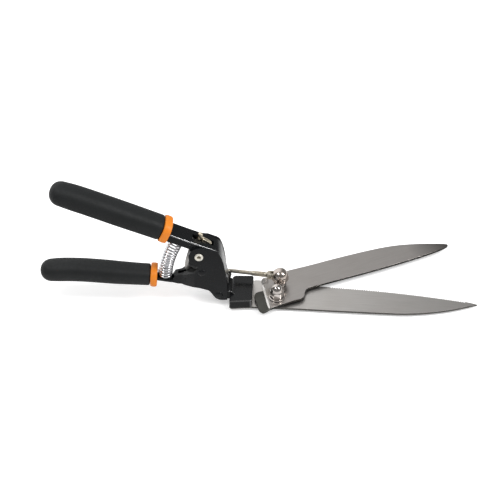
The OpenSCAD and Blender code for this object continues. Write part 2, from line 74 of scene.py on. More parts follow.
# ------------------------------------------------------------------ node graphs
class NodeGraph:
    """The node tree of a material or world, with the kinds of node used here."""

    def __init__(self, owner):
        owner.use_nodes = True
        self.owner = owner
        self.tree = owner.node_tree
        self.tree.nodes.clear()

    def feed(self, socket, value):
        """Link a socket or set a value; colours are given without their alpha of 1."""
        if isinstance(value, bpy.types.NodeSocket):
            self.tree.links.new(value, socket)
        else:
            socket.default_value = (*value, 1) if socket.type == "RGBA" else value

    def node(self, kind, inputs=None, **settings):
        node = self.tree.nodes.new("ShaderNode" + kind)
        for key, value in settings.items():
            setattr(node, key, value)
        for key, value in (inputs or {}).items():
            self.feed(node.inputs[key], value)
        return node

    def surface(self, values):
        """Set or link inputs of the main shader."""
        for key, value in values.items():
            self.feed(self.shader.inputs[key], value)

    def base_color(self):
        return self.shader.inputs["Base Color"].links[0].from_socket

    def object_coords(self):
        return self.node("TexCoord").outputs["Object"]

    def mapped(self, vector, scale):
        return self.node("Mapping", {"Vector": vector, "Scale": scale}).outputs[0]

    def mm_coords(self):
        return self.mapped(self.object_coords(), (1000, 1000, 1000))

    def split(self, vector):
        return self.node("SeparateXYZ", {0: vector}).outputs

    def noise(self, vector, scale, detail=4, rough=0.5):
        inputs = {"Vector": vector, "Scale": scale, "Detail": detail, "Roughness": rough}
        return self.node("TexNoise", inputs).outputs["Fac"]

    def ramp(self, value, low, high, span=(0.3, 0.7)):
        """Colour running from low to high while the value crosses the span."""
        node = self.node("ValToRGB", {0: value})
        for stop, place, color in zip(node.color_ramp.elements, span, (low, high)):
            stop.position = place
            stop.color = (*color, 1)
        return node.outputs[0]

    def remap(self, value, to, span=(0.0, 1.0), **settings):
        """Carry the span of values over to another pair of values."""
        inputs = {0: value, 1: span[0], 2: span[1], 3: to[0], 4: to[1]}
        return self.node("MapRange", inputs, **settings).outputs[0]

    def math(self, operation, first, second):
        return self.node("Math", {0: first, 1: second}, operation=operation).outputs[0]

    def mix(self, factor, first, second):
        inputs = {0: factor, 6: first, 7: second}
        return self.node("Mix", inputs, data_type="RGBA", blend_type="MIX").outputs[2]

    def bump(self, height, strength, distance, under=None):
        inputs = {"Height": height, "Strength": strength, "Distance": distance}
        if under is not None:
            inputs["Normal"] = under
        return self.node("Bump", inputs).outputs[0]

    def edge_mask(self, radius, low=0.02, high=0.12):
        """1 along sharp outer edges, from the angle between the true and the rounded normal."""
        rounded = self.node("Bevel", {"Radius": radius}, samples=4)
        true = self.node("NewGeometry").outputs["Normal"]
        dot = self.node("VectorMath", {0: rounded.outputs[0], 1: true}, operation="DOT_PRODUCT")
        return self.remap(dot.outputs["Value"], span=(1 - high, 1 - low), to=(1, 0))


def new_material(name):
    graph = NodeGraph(bpy.data.materials.new(name))
    graph.shader = graph.node("BsdfPrincipled")
    graph.node("OutputMaterial", {0: graph.shader.outputs[0]})
    return graph


def scaled(color, factor):
    return tuple(c * factor for c in color)


# ------------------------------------------------------------------ materials
MIDDLE = (0.3, 0.7)  # the span most noise values fill


def paint(name):
    """Glossy black paint with grey wear in patches along the edges."""
    black = (0.0043, 0.0047, 0.0053)
    graph = new_material(name)
    coords = graph.mm_coords()
    spots = graph.noise(coords, scale=0.5, detail=5, rough=0.7)
    wear = graph.math("MULTIPLY", graph.edge_mask(radius=0.0005),
                      graph.remap(spots, span=(0.42, 0.7), to=(0, 0.55)))
    tint = graph.ramp(graph.noise(coords, scale=0.06, detail=3),
                      low=black, high=scaled(black, 1.35))
    gloss = graph.noise(coords, scale=0.25, detail=4, rough=0.6)
    fine = graph.noise(coords, scale=1.6, detail=3, rough=0.6)
    graph.surface({
        "Base Color": graph.mix(wear, tint, (0.045, 0.046, 0.048)),
        "Roughness": graph.remap(gloss, span=MIDDLE, to=(0.18, 0.32)),
        "Specular IOR Level": 0.21,
        "Normal": graph.bump(fine, strength=0.10, distance=0.0003)})
    return graph


def paint_with_painted_highlight(name, start, end, level):
    """Black paint with a painted highlight from X = start to X = end (mm), fading out at both ends:
    a bright metallic band that stands in for the highlight along a rounded fold.
    """
    graph = paint(name)
    along = graph.split(graph.object_coords())["X"]
    # highlight_share is 1 where the painted highlight lies
    highlight_share = graph.math(
        "MULTIPLY",
        graph.remap(along, span=(start * MM, (start + 4) * MM), to=(0, 1)),
        graph.remap(along, span=((end - 6) * MM, end * MM), to=(1, 0)))
    graph.surface({
        "Base Color": graph.mix(highlight_share, graph.base_color(), (level, level, level * 1.01)),
        "Metallic": graph.remap(highlight_share, to=(0, 0.85))})
    return graph


def soft_grip(name):
    """Dark matt rubber with pale specks and a pebbled surface."""
    graph = new_material(name)
    coords = graph.mm_coords()
    base = graph.ramp(graph.noise(coords, scale=0.05, detail=4, rough=0.55), span=(0.25, 0.75),
                      low=(0.0068, 0.0078, 0.0082), high=(0.0100, 0.0114, 0.0120))
    speck = graph.remap(graph.noise(coords, scale=2.8, detail=2, rough=0.6),
                        span=(0.55, 0.8), to=(0, 0.6))
    gloss = graph.noise(coords, scale=0.4, detail=5, rough=0.6)
    cells = graph.node("TexVoronoi", {"Scale": 1.9, "Vector": coords}).outputs["Distance"]
    pebbles = graph.bump(cells, strength=0.28, distance=0.00022)
    waves = graph.noise(coords, scale=0.9, detail=4, rough=0.65)
    graph.surface({
        "Base Color": graph.mix(speck, base, (0.024, 0.0255, 0.027)),
        "Roughness": graph.remap(gloss, span=MIDDLE, to=(0.50, 0.68)),
        "Specular IOR Level": 0.30,
        "Normal": graph.bump(waves, strength=0.25, distance=0.0004, under=pebbles)})
    return graph


def orange_plastic(name):
    graph = new_material(name)
    coords = graph.mm_coords()
    base = graph.ramp(graph.noise(coords, scale=0.12, detail=3),
                      low=(0.60, 0.166, 0.006), high=(0.66, 0.196, 0.009))
    wear = graph.remap(graph.edge_mask(radius=0.0005), to=(0, 0.75))
    gloss = graph.noise(coords, scale=0.5, detail=4)
    fine = graph.noise(coords, scale=2.2, detail=3, rough=0.6)
    graph.surface({
        "Base Color": graph.mix(wear, base, (0.20, 0.055, 0.006)),
        "Specular IOR Level": 0.35,
        "Roughness": graph.remap(gloss, span=MIDDLE, to=(0.36, 0.5)),
        "Subsurface Weight": 0.05,
        "Subsurface Radius": (0.002, 0.001, 0.0005),
        "Normal": graph.bump(fine, strength=0.12, distance=0.0003)})
    return graph


def ground_steel(name, base, rough, angle, edge, fade=None, side=None, metallic=1):
    """Steel with fine streaks along the angle (degrees), cloudy staining and worn edges.

    fade: distances along the streaks (mm) between which the colour darkens, and the share
    of it left at the end; this darkening is a painted reflection, dimmer towards the tip.
    side: painted shade, a dark colour for the faces that don't look up.
    """
    graph = new_material(name)
    turned = graph.node("VectorRotate", {"Angle": -radians(angle),
                                         "Vector": graph.object_coords()},
                        rotation_type="Z_AXIS").outputs[0]
    streak = graph.noise(graph.mapped(turned, (35, 4200, 600)), scale=1.0, detail=5, rough=0.65)
    broad = graph.noise(graph.mapped(turned, (160, 1500, 300)), scale=1.0, detail=3, rough=0.6)
    cloud = graph.noise(graph.mm_coords(), scale=0.035, detail=5, rough=0.6)
    color = graph.ramp(streak, span=(0.30, 0.72), low=scaled(base, 0.82), high=scaled(base, 1.07))
    stain = tuple(c * f for c, f in zip(base, (0.80, 0.775, 0.75)))
    color = graph.mix(graph.remap(cloud, span=(0.45, 0.75), to=(0, 0.35)), color, stain)
    # painted reflection: the colour darkens along the streaks
    if fade:
        start, end, left = fade
        share = graph.remap(graph.split(turned)["X"], span=(start * MM, end * MM), to=(1, left))
        color = graph.mix(share, (0, 0, 0), color)
    wear = graph.edge_mask(radius=0.00035, low=0.03, high=0.2)
    color = graph.mix(graph.remap(wear, to=(0, 0.35)), color, edge)
    # painted shade on the side faces, which don't look up
    if side is not None:
        facing_up = graph.split(graph.node("NewGeometry").outputs["Normal"])["Z"]
        color = graph.mix(graph.remap(facing_up, span=(0.30, 0.92), to=(1, 0)), color, side)
    graph.surface({
        "Metallic": metallic,
        "Base Color": color,
        "Roughness": graph.remap(broad, span=MIDDLE, to=(rough - 0.05, rough + 0.09)),
        "Normal": graph.bump(streak, strength=0.10, distance=0.00008)})
    return graph


def chrome(name, base, rough, crevice=0.0):
    """Bright metal; with a crevice distance (mm), painted shade darkens corners, crevices and glancing faces.
    """
    graph = new_material(name)
    coords = graph.mm_coords()
    color = graph.ramp(graph.noise(coords, scale=0.25, detail=4),
                       low=scaled(base, 0.9), high=base)
    if crevice:
        # painted shade in corners and crevices, from ambient occlusion
        occlusion = graph.node("AmbientOcclusion", {"Distance": crevice * MM}, samples=8)
        open_share = graph.remap(occlusion.outputs["AO"], span=(0.50, 0.92), to=(0, 1))
        color = graph.mix(open_share, (0.015, 0.014, 0.013), color)
        # painted shade: faces seen at a glancing angle turn dark, as a dark outline
        facing = graph.node("LayerWeight", {"Blend": 0.5}).outputs["Facing"]
        color = graph.mix(graph.remap(facing, span=(0.52, 0.90), to=(0, 0.95)),
                          color, (0.06, 0.05, 0.045))
    gloss = graph.noise(coords, scale=0.8, detail=5, rough=0.7)
    waves = graph.noise(coords, scale=0.7, detail=3)
    graph.surface({
        "Metallic": 1,
        "Base Color": color,
        "Roughness": graph.remap(gloss, span=(0.35, 0.75), to=(rough, rough + 0.12)),
        "Normal": graph.bump(waves, strength=0.04, distance=0.0003)})
    return graph


def zinc(name, base=(0.60, 0.56, 0.48), rough=0.30, tint=(0.70, 0.60, 0.42), metallic=1):
    """Plated metal clouded with a second tint."""
    graph = new_material(name)
    coords = graph.mm_coords()
    color = graph.ramp(graph.noise(coords, scale=0.35, detail=5, rough=0.65),
                       low=scaled(base, 0.78), high=base)
    cloud = graph.remap(graph.noise(coords, scale=0.12, detail=3), span=(0.45, 0.7), to=(0, 0.5))
    gloss = graph.noise(coords, scale=0.9, detail=4, rough=0.6)
    grain = graph.noise(coords, scale=1.4, detail=4, rough=0.6)
    graph.surface({
        "Metallic": metallic,
        "Base Color": graph.mix(cloud, color, tint),
        "Roughness": graph.remap(gloss, span=MIDDLE, to=(rough - 0.06, rough + 0.14)),
        "Normal": graph.bump(grain, strength=0.10, distance=0.0002)})
    return graph


def latch_zinc(name):
    """Warm zinc on the +X part; the rest is grey, darker above than below: painted shade where it lies inside
    the handle.
    """
    graph = zinc(name, base=(0.86, 0.78, 0.62), rough=0.30, tint=(0.90, 0.80, 0.58))
    place = graph.split(graph.object_coords())
    # painted shade: the part above lies in shade inside the handle
    low_share = graph.remap(place["Z"], span=(0.036 + LIFT * MM, 0.044 + LIFT * MM), to=(1, 0))
    grey_and_painted_shade = graph.mix(low_share, (0.15, 0.145, 0.14), (0.45, 0.44, 0.42))
    warm_share = graph.remap(place["X"], span=(-0.0632, -0.0618), to=(0, 1))
    graph.surface({"Base Color": graph.mix(warm_share, grey_and_painted_shade, graph.base_color())})
    return graph


FIXED_ANGLE, SWING_ANGLE, HEEL_ANGLE = -5, 25, 100  # directions of the grinding streaks

PAINT = paint("black_paint").owner
GRIP = soft_grip("soft_grip").owner
COLLAR = orange_plastic("orange_collar").owner
# The blades' fade and side colours are painted light: darkening towards the tip and shade on the side faces
FIXED = ground_steel("fixed_blade_steel", base=(0.65, 0.628, 0.604), rough=0.36,
                     angle=FIXED_ANGLE, edge=(0.50, 0.49, 0.47), fade=(10, 150, 0.66),
                     side=(0.10, 0.096, 0.09)).owner
MOVING = ground_steel("moving_blade_steel", base=(0.435, 0.412, 0.394), rough=0.34,
                      angle=SWING_ANGLE, edge=(0.30, 0.285, 0.27), fade=(126, 160, 0.22),
                      side=(0.03, 0.028, 0.026)).owner
CHROME = chrome("polished_chrome", base=(0.66, 0.615, 0.58), rough=0.08, crevice=1.6).owner
# the dome's warm, dulled tint is a painted reflection of the brownish surroundings it mirrors
DOME = chrome("satin_chrome", base=(0.60, 0.535, 0.49), rough=0.16, crevice=2.0).owner
BOLT = chrome("bolt_steel", base=(0.66, 0.64, 0.62), rough=0.16).owner
SPRING = chrome("spring_wire", base=(0.92, 0.92, 0.94), rough=0.10).owner
ZINC = zinc("zinc_plate").owner
RIVET = zinc("rivet_zinc", base=(0.90, 0.87, 0.78), rough=0.34, tint=(0.92, 0.87, 0.74),
             metallic=0.65).owner
# Painted highlights: a bright band on the channel's near fold and a dimmer one on the bracket's front folds
PAINTED_FOLD_HIGHLIGHT = paint_with_painted_highlight("painted_fold_highlight", start=-84, end=-46, level=0.34).owner
PAINTED_EDGE_HIGHLIGHT = paint_with_painted_highlight("painted_edge_highlight", start=-60, end=10, level=0.13).owner
LATCH = latch_zinc("latch_zinc").owner
# dark steel; on the stud spacer it also serves as painted shade
DARK_STEEL_AND_SHADE = zinc("dark_steel", base=(0.20, 0.195, 0.19), rough=0.38, tint=(0.26, 0.24, 0.22)).owner
# heel tab: steel painted dark, a painted reflection of the dark handle and surroundings the down-bent tab faces
TAB = ground_steel("heel_tab_steel", base=(0.088, 0.088, 0.080), rough=0.42,
                   angle=HEEL_ANGLE, edge=(0.2, 0.2, 0.19)).owner
# bend strip and heel ear: bright, partly diffuse steel, a painted highlight where the bend catches the light
STRIP = ground_steel("heel_strip_steel", base=(0.74, 0.72, 0.70), rough=0.26,
                     angle=HEEL_ANGLE, edge=(0.80, 0.79, 0.77), metallic=0.6).owner


# ------------------------------------------------------------------ placing
def shift(x, y, z):
    return Matrix.Translation((x * MM, y * MM, z * MM))


def turn(degrees, axis):
    return Matrix.Rotation(radians(degrees), 4, axis)


def upright(y):
    """Stands a flat drawing up: its x and y become X and Z, mid-thickness at Y = y."""
    return shift(0, y, 0) @ turn(90, "X")


def attach(obj, body, node):
    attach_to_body(obj, body)
    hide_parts(node)


# ------------------------------------------------------------------ mesh tools
def add_object(name, mesh, sharp):
    """Smooth-shaded object with edges over the sharp angle (degrees) kept hard."""
    obj = bpy.data.objects.new(name, mesh)
    scene.collection.objects.link(obj)
    for polygon in mesh.polygons:
        polygon.use_smooth = True
    mesh.set_sharp_from_angle(angle=radians(sharp))
    return obj


def solid(name, shape, material, sharp):
    """Object from (vertices in mm, faces), with coincident points merged."""
    verts, faces = shape
    mesh = bpy.data.meshes.new(name)
    raised = [tuple((Vector(v) + Vector((0, 0, LIFT))) * MM) for v in verts]
    mesh.from_pydata(raised, [], faces)
    bm = bmesh.new()
    bm.from_mesh(mesh)
    bmesh.ops.remove_doubles(bm, verts=bm.verts, dist=1e-7)
    bmesh.ops.recalc_face_normals(bm, faces=bm.faces)
    bm.to_mesh(mesh)
    bm.free()
    mesh.materials.append(material)
    return add_object(name, mesh, sharp)


def rings(rows, closed=False):
    """Quads between successive rings of points; open tubes get end caps."""
    verts = [point for row in rows for point in row]
    faces = []
    size, count = len(rows[0]), len(rows)
    for i in range(count if closed else count - 1):
        a, b = i * size, ((i + 1) % count) * size
        for j in range(size):
            k = (j + 1) % size
            faces.append((a + j, a + k, b + k, b + j))
    if not closed:
        faces.append(tuple(range(size))[::-1])
        faces.append(tuple((count - 1) * size + j for j in range(size)))
    return verts, faces


def around(count):
    return [2 * pi * i / count for i in range(count)]


def revolve(profile, origin, axis, segments):
    """Solid turned from a closed (radius, height) profile; solid() merges points on the axis."""
    along = Vector(axis).normalized()
    across = along.orthogonal().normalized()
    third = along.cross(across)
    origin = Vector(origin)
    verts, faces = [], []
    for angle in around(segments):
        out = across * cos(angle) + third * sin(angle)
        verts += [origin + out * radius + along * height for radius, height in profile]
    size = len(profile)
    on_axis = [radius < 1e-6 for radius, _ in profile]
    for i in range(segments):
        a, b = i * size, ((i + 1) % segments) * size
        for j in range(size):
            k = (j + 1) % size
            if on_axis[j] and on_axis[k]:
                continue
            if on_axis[j]:
                faces.append((a + j, a + k, b + k))
            elif on_axis[k]:
                faces.append((a + j, a + k, b + j))
            else:
                faces.append((a + j, a + k, b + k, b + j))
    return verts, faces


def sweep(path, radii, sides):
    """Round bar along a path, with a radius for each point."""
    last = len(path) - 1
    tangents = [(path[min(i + 1, last)] - path[max(i - 1, 0)]).normalized()
                for i in range(last + 1)]
    across = tangents[0].orthogonal().normalized()
    rows = []
    for i, (point, tangent, radius) in enumerate(zip(path, tangents, radii)):
        if i:
            across = (across - tangent * across.dot(tangent)).normalized()
        third = tangent.cross(across)
        rows.append([point + (across * cos(a) + third * sin(a)) * radius for a in around(sides)])
    return rings(rows)


def smooth_line(points, step=1.0, closed=True, corner=50):
    """Catmull-Rom through the points, keeping corners sharper than the limit (degrees)."""
    count = len(points)
    points = [Vector(p) for p in points]
    hard = []
    for i in range(count):
        if not closed and i in (0, count - 1):
            hard.append(True)
            continue
        arriving, leaving = points[i] - points[i - 1], points[(i + 1) % count] - points[i]
        hard.append(arriving.angle(leaving) > radians(corner))
    line = []
    for i in range(count if closed else count - 1):
        start, end = points[i], points[(i + 1) % count]
        chord = end - start
        before = start - chord if hard[i] else points[i - 1]
        after = end + chord if hard[(i + 1) % count] else points[(i + 2) % count]
        # square roots of the three spacings: the centripetal form
        in_gap, gap, out_gap = [(b - a).length ** 0.5 for a, b in
                                ((before, start), (start, end), (end, after))]
        slope0 = chord + gap * ((start - before) / in_gap - (end - before) / (in_gap + gap))
        slope1 = chord + gap * ((after - end) / out_gap - (after - start) / (gap + out_gap))
        pieces = max(1, int(chord.length / step))
        for j in range(pieces):
            t = j / pieces
            line.append((2 * t ** 3 - 3 * t ** 2 + 1) * start + (t ** 3 - 2 * t ** 2 + t) * slope0
                        + (-2 * t ** 3 + 3 * t ** 2) * end + (t ** 3 - t ** 2) * slope1)
    if not closed:
        line.append(points[-1])
    return line


def circle(x, y, radius, count=40):
    """Clockwise circle, as needed for a hole."""
    return [(x + radius * cos(a), y - radius * sin(a)) for a in around(count)]


def half_circle(x, y, radius, start):
    angles = [start + pi * i / 20 for i in range(21)]
    return [(x + radius * cos(a), y + radius * sin(a)) for a in angles]


def plate(name, outline, thick, bevel, placement, material, holes=(), rounding=2, sharp=40):
    """Sheet with rounded edges, drawn in its own plane with mid-thickness at 0 (mm)."""
    curve = bpy.data.curves.new(name, "CURVE")
    curve.dimensions = "2D"
    curve.fill_mode = "BOTH"
    curve.extrude = (thick / 2 - bevel) * MM
    curve.bevel_depth = bevel * MM
    curve.bevel_resolution = rounding
    curve.offset = -bevel * MM
    for loop in [outline, *holes]:
        spline = curve.splines.new("POLY")
        spline.points.add(len(loop) - 1)
        for target, point in zip(spline.points, loop):
            x, y = Vector(point)
            target.co = (x * MM, y * MM, 0, 1)
        spline.use_cyclic_u = True
    drawing = bpy.data.objects.new(name + "_c", curve)
    scene.collection.objects.link(drawing)
    bpy.context.view_layer.update()
    evaluated = drawing.evaluated_get(bpy.context.evaluated_depsgraph_get())
    mesh = bpy.data.meshes.new_from_object(evaluated)
    bpy.data.objects.remove(drawing)
    bpy.data.curves.remove(curve)
    bm = bmesh.new()
    bm.from_mesh(mesh)
    bmesh.ops.remove_doubles(bm, verts=bm.verts, dist=2e-7)
    bm.transform(shift(0, 0, LIFT) @ placement)
    bmesh.ops.recalc_face_normals(bm, faces=bm.faces)
    bm.to_mesh(mesh)
    bm.free()
    mesh.name = name
    mesh.materials.append(material)
    for polygon in mesh.polygons:
        polygon.material_index = 0
    return add_object(name, mesh, sharp)


def join(objects, name):
    bpy.ops.object.select_all(action="DESELECT")
    for obj in objects:
        obj.select_set(True)
    bpy.context.view_layer.objects.active = objects[0]
    bpy.ops.object.join()
    joined = bpy.context.view_layer.objects.active
    joined.name = name
    joined.data.name = name
    return joined


# ------------------------------------------------------------------ grips
SECTION_POINTS = 72


def section(center, direction, half_width, half_height, power):
    """Superellipse across a direction in the X-Z plane; its width lies along Y."""
    def bulge(value):
        return copysign(abs(value) ** (2 / power), value)

    points = []
    for angle in around(SECTION_POINTS):
        y = half_width * bulge(cos(angle))
        rise = half_height * bulge(sin(angle))
        points.append(Vector((center.x - direction.y * rise, MID_Y + y,
                              center.y + direction.x * rise)))
    return points


def point_at(line, distance):
    """Point and direction on a line at a distance from its start."""
    done = 0
    for a, b in zip(line, line[1:]):
        span = (b - a).length
        if done + span >= distance or b is line[-1]:
            return a + (b - a) * ((distance - done) / span), (b - a).normalized()
        done += span


def eased(stations, place):
    """Row of values at a place along a table of (place, values)."""
    for (place0, row0), (place1, row1) in zip(stations, stations[1:]):
        if place <= place1:
            t = (place - place0) / (place1 - place0)
            t = t * t * (3 - 2 * t)
            return tuple(a + (b - a) * t for a, b in zip(row0, row1))
    return stations[-1][1]


def grip_sleeve(center_line, stations, cap):
    """Sleeve with a round cap of the given length at the rear and a small front rim radius."""
    rim = 1.6
    cap_power = 2.25
    line = smooth_line(center_line, 1.0, closed=False, corner=170)
    length = sum((b - a).length for a, b in zip(line, line[1:]))
    middle = length - cap - rim
    count = int(middle / 2.0)
    places = [cap * (1 - cos(pi / 2 * i / 18)) for i in range(19)]
    places += [cap + middle * i / count for i in range(1, count + 1)]
    places += [length - rim + rim * sin(pi / 2 * i / 6) for i in range(1, 7)]
    rows = []
    for place in places:
        center, direction = point_at(line, min(place, length - 1e-4))
        half_width, half_height, power = eased(stations, place / length)
        size, inset = 1.0, 0
        if place < cap:
            size = max(1 - (1 - place / cap) ** cap_power, 0) ** (1 / cap_power)
            power = 2.0 + (power - 2.0) * place / cap
        if place > length - rim:
            inset = rim * (1 - sqrt(max(0, 1 - ((place - (length - rim)) / rim) ** 2)))
        size = max(size, 0.012)
        rows.append(section(center, direction, max(half_width * size - inset, 0.05),
                            max(half_height * size - inset, 0.05), power))
    return rings(rows)


# centre lines (X, Z) from the rear end to the front end
UPPER_GRIP_LINE = [(-173.6, 103.6), (-158, 97.6), (-143.5, 91.5), (-121, 81.5), (-98.7, 71.6),
                   (-90.1, 67.75)]
LOWER_GRIP_LINE = [(-187.6, 24.4), (-180, 25.1), (-168, 25.6), (-155, 25.3), (-140, 24.0),
                   (-125, 22.4), (-112, 21.3), (-100.6, 20.5)]
# share of the length, (half width, half height, superellipse power)
UPPER_GRIP_STATIONS = [(0, (9.8, 8.6, 2.3)), (0.25, (10.4, 9.1, 2.5)),
                       (0.6, (10.5, 9.0, 2.6)), (1.0, (9.9, 8.7, 2.8))]
LOWER_GRIP_STATIONS = [(0, (8.8, 8.0, 2.3)), (0.2, (9.4, 8.4, 2.5)),
                       (0.55, (9.5, 8.2, 2.6)), (1.0, (8.7, 7.4, 2.8))]
upper_sleeve = grip_sleeve(UPPER_GRIP_LINE, UPPER_GRIP_STATIONS, cap=8.6)
attach(solid("upper_grip_sleeve", upper_sleeve, GRIP, sharp=60),
       "upper_handle_body", "upper_grip")
lower_sleeve = grip_sleeve(LOWER_GRIP_LINE, LOWER_GRIP_STATIONS, cap=8.4)
attach(solid("lower_grip_sleeve", lower_sleeve, GRIP, sharp=60), "frame", "lower_grip")


# ------------------------------------------------------------------ collars
def collar(start, end, half_width, half_height, slot_half_width, slot_bottom, slot_top):
    """Band round the end of a grip, with rounded rims and an open slot for the handle."""
    start, end = Vector(start), Vector(end)
    length = (end - start).length
    direction = (end - start).normalized()
    rim = 1.0
    corners = [pi / 2 * i / 6 for i in range(7)]
    profile = [(rim * (1 - cos(a)), -rim * (1 - sin(a))) for a in corners]
    for i in range(1, 8):
        share = i / 8
        profile.append((rim + (length - 2 * rim) * share, 0.22 * sin(pi * share)))
    profile += [(length - rim * (1 - sin(a)), -rim * (1 - cos(a))) for a in corners]
    rows = [section(start + direction * place, direction, half_width + off, half_height + off,
                    power=2.8) for place, off in profile]
    # the slot's wall leads back from the end to the start
    for place in (length, 0.0):
        center = start + direction * place
        wall = []
        for angle in around(SECTION_POINTS):
            y = slot_half_width * max(-1, min(1, 1.35 * cos(angle)))
            rise = ((slot_top - slot_bottom) / 2 * max(-1, min(1, 1.35 * sin(angle)))
                    + (slot_top + slot_bottom) / 2)
            wall.append(Vector((center.x - direction.y * rise, MID_Y + y,
                                center.y + direction.x * rise)))
        rows.append(wall)
    return rings(rows, closed=True)


upper_band = collar((-89.9, 67.7), (-84.2, 65.15), half_width=10.6, half_height=9.35,
                    slot_half_width=8.52, slot_bottom=-7.6, slot_top=5.2)
attach(solid("upper_collar_band", upper_band, COLLAR, sharp=40),
       "upper_handle_body", "upper_collar")
lower_band = collar((-100.4, 20.55), (-95.1, 20.15), half_width=9.3, half_height=8.15,
                    slot_half_width=4.02, slot_bottom=-3.2, slot_top=4.3)
attach(solid("lower_collar_band", lower_band, COLLAR, sharp=40), "frame", "lower_collar")

# ------------------------------------------------------------------ fixed blade
# (X, Y) outline in four runs: near edge, tip, toothed far edge, root
FIXED_NEAR = [(-37, -8.3), (-21.4, -7.4), (-11.8, -8.1), (-1.5, -8.6), (18.4, -9.9),
              (42.2, -11.9), (65.9, -13.7), (84, -15.0), (97.5, -15.7), (108, -15.6),
              (121.5, -14.3), (137.7, -11.3), (148, -8.4), (155, -6.3), (159.4, -5.2)]
FIXED_TIP = [(159.9, -5.0), (159.8, -4.7), (158.6, -4.2), (154.3, -2.6)]
FIXED_ROOT = [(43, 16.6), (36.9, 17.2), (22, 19.8), (4, 22.8), (-14, 25.2)]
FIXED_HEEL = [(-17, 25.4), (-19.4, 24), (-20.4, 22), (-34.4, 22)]
FIXED_THICK = 1.8
TOOTH_START, TOOTH_END, TOOTH_PITCH = 151.0, 43, 1.85
TOOTH_DEPTH = 1.15
# offset along -X from a tooth's start, depth below the edge curve
TOOTH = [(0, 0), (0.35, 0), (1.05, TOOTH_DEPTH), (1.35, TOOTH_DEPTH)]


def far_edge(x):
    return 17.2 - 0.085 * (x - 36.9) - 0.0007 * (x - 36.9) ** 2


teeth = []
tooth_x = TOOTH_START
while tooth_x > TOOTH_END:
    teeth += [(tooth_x - back, far_edge(tooth_x - back) - depth) for back, depth in TOOTH]
    tooth_x -= TOOTH_PITCH
fixed_outline = (smooth_line(FIXED_NEAR, 2.0, closed=False) + FIXED_TIP + teeth
                 + smooth_line(FIXED_ROOT, 2.0, closed=False) + FIXED_HEEL)
attach(plate("fixed_blade_plate", fixed_outline, FIXED_THICK, 0.16,
             shift(0, 0, -FIXED_THICK / 2), FIXED, holes=[circle(0, 0, 3.0)],
             rounding=1, sharp=10), "frame", "fixed_blade")

# ------------------------------------------------------------------ moving blade
# outline before the blade is swung about the pivot
MOVING_OUTLINE = [
    (-2.1, 19.5), (-0.6, 22.4), (2.2, 23.8), (7.1, 24.0), (13, 24.8), (19, 26), (24, 26.4),
    (30, 26.0), (42.6, 25.2), (60.8, 24.5), (78.9, 23.5), (97.1, 22.1), (112, 20.2),
    (123.2, 17.7), (135.4, 13.7), (147, 8.9), (154.6, 5.4), (158.2, 3.4), (159.7, 2.3),
    (160.0, 1.3), (159.2, 0.45), (156, -0.5), (150.7, -1.4), (140.8, -2.1), (130.8, -2.5),
    (111.6, -2.7), (93, -2.4), (74.6, -1.8), (56.7, -1.0), (38.7, -0.3), (31, 0.0),
    (28.4, -0.1), (26.3, -0.9), (24.6, -2.3), (23, -4.3), (21.2, -7.0), (19.4, -8.7),
    (17, -9.4), (12, -9.3), (7.5, -9.1), (-1.5, -9.3), (-5.9, -9.6), (-10.1, -10.4)]
# sloping tab behind the blade, drawn in the same plane
TAB_OUTLINE = [
    (-2, 18.8), (-9.6, -10.2), (-11.4, -10.3), (-14.4, -11.1), (-17, -11.2), (-18.3, -9.5),
    (-18.8, -5.9), (-17.2, 1.6), (-16, 7.8), (-14, 11.2), (-11.4, 12.8), (-6, 11.8), (-3.9, 16.6)]
EAR_OUTLINE = [(-2.6, -1.6), (2.5, -1.6), (2.9, 1.6), (2.2, 3.3), (0.4, 3.9), (-1.8, 3.4),
               (-2.8, 1.4)]
BLADE_THICK = 2.0
BLADE_BASE = 1.5  # underside height at the pivot
TAB_THICK = 1.96
BEND_STEPS = 30

swing = turn(SWING_ANGLE, "Z")
lean = shift(0, 0, BLADE_BASE) @ turn(0.52, "Y") @ shift(0, 0, BLADE_THICK / 2)
blade = plate("moving_blade_plate", smooth_line(MOVING_OUTLINE, 1.5, corner=40), BLADE_THICK,
              0.22, swing @ lean, MOVING, holes=[circle(0, 0, 3.05)], sharp=10)

# the tab hinges about its bend line, whose own Y axis starts at this corner
bend_line = shift(-10.1, -10.4, 1.52) @ turn(-15, "Z")
to_bend = bend_line.inverted()
tab_outline = []
for p in smooth_line(TAB_OUTLINE, 1.0, corner=45):
    local = to_bend @ Vector((p.x * MM, p.y * MM, 0))
    tab_outline.append((local.x / MM, local.y / MM))
tilt = swing @ bend_line @ turn(-5, "Y")
# the heel tab takes the dark steel of painted reflection
tab = plate("heel_tab_plate", tab_outline, TAB_THICK, 0.35, tilt @ shift(0, 0, TAB_THICK / 2), TAB)

# rounded bend between blade and tab; its bright steel is a painted highlight where the bend catches the light
bend_rows = []
for i in range(BEND_STEPS + 1):
    y = -0.4 + 29.6 * i / BEND_STEPS
    size = 0.12
    if 0 < i < BEND_STEPS:
        size = sqrt(max(0.0, 1 - abs(2 * i / BEND_STEPS - 1) ** 6))
    bend_rows.append([Vector((-0.95 + 1.2 * size * cos(a), y, 1.72 + 0.48 * size * sin(a)))
                      for a in around(20)])
bend_verts, bend_faces = rings(bend_rows)
bend_verts = [(tilt @ (p * MM)) / MM for p in bend_verts]
bend = solid("heel_bend", (bend_verts, bend_faces), STRIP, sharp=50)

# small upturned corner at the far end of the bend; its bright steel is a painted highlight
ear_place = swing @ shift(-0.6, 20.9, 3.1) @ turn(-18, "Z") @ turn(62, "X")
ear = plate("heel_ear", smooth_line(EAR_OUTLINE, 0.5, corner=80), 1.3, 0.4, ear_place, STRIP,
            rounding=3)
attach(join([blade, tab, bend, ear], "moving_blade_plate"),
       "moving_blade_body", "moving_blade")


